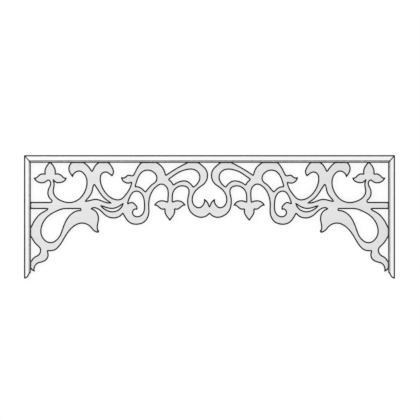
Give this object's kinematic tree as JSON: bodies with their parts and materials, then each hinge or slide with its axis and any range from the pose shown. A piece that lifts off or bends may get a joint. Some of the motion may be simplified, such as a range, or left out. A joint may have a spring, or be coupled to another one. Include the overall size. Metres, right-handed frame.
{
  "type": "fretwork panel",
  "caption": "Framed Victorian porch fretwork panel: scroll-sawn board with scrolls, leaves and pendants in a white mitred frame that is open at the bottom.",
  "frame": {"origin": "middle of the panel's length and height, on the plane of its back", "axes": "+X along the top rail, +Y from the feet of the stiles to the top rail, +Z out of the face; the panel lies on its back, as it is stored"},
  "size_m": [1.8288, 0.6096, 0.038],
  "materials": {
    "frame_paint": "satin white paint",
    "fretwork_paint": "satin pale grey paint"
  },
  "bodies": {
    "root": {"top_rail": "frame_paint", "left_stile": "frame_paint", "right_stile": "frame_paint", "fretwork": "fretwork_paint"}
  },
  "joints": []
}
